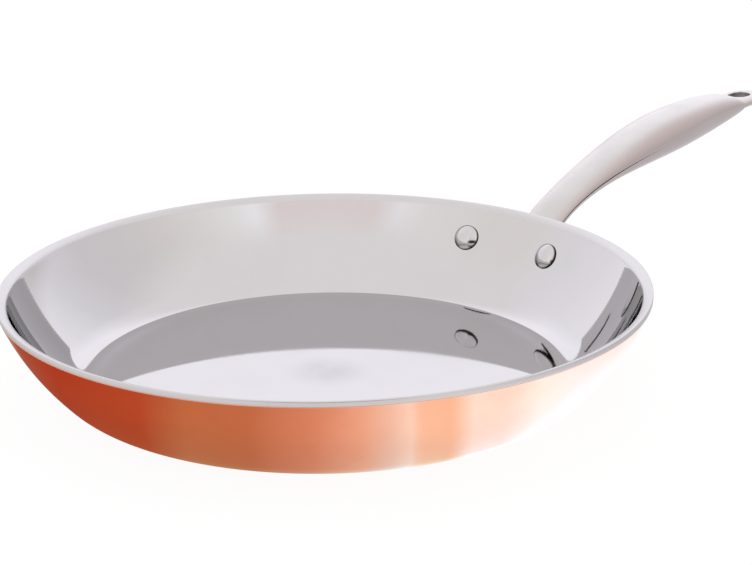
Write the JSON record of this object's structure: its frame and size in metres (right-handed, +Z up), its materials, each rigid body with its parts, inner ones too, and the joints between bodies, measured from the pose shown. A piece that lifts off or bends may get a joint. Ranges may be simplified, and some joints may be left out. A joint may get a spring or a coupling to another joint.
{
  "type": "frying pan",
  "caption": "Round shallow frying pan with a copper outside, a polished steel inside and lip, and a long hollow satin steel stick handle riveted to its wall, with a hanging hole at the tip.",
  "frame": {"origin": "centre of the flat underside", "axes": "+X along the handle towards its tip, +Z up out of the pan, +Y to the left of the handle seen from the pan"},
  "size_m": [0.4842, 0.28, 0.0695],
  "materials": {
    "copper": "polished copper",
    "core_aluminium": "rolled, covered by the other layers",
    "polished_steel": "mirror polished stainless steel",
    "satin_steel": "satin stainless steel",
    "rivet_steel": "polished stainless steel"
  },
  "bodies": {
    "root": {"copper_shell": "copper", "aluminium_core": "core_aluminium", "steel_lining": "polished_steel", "handle_bracket": "satin_steel", "handle_upper_shell": "satin_steel", "handle_lower_shell": "satin_steel", "hanging_eye": "satin_steel", "rivet_left": "rivet_steel", "rivet_right": "rivet_steel"}
  },
  "joints": []
}
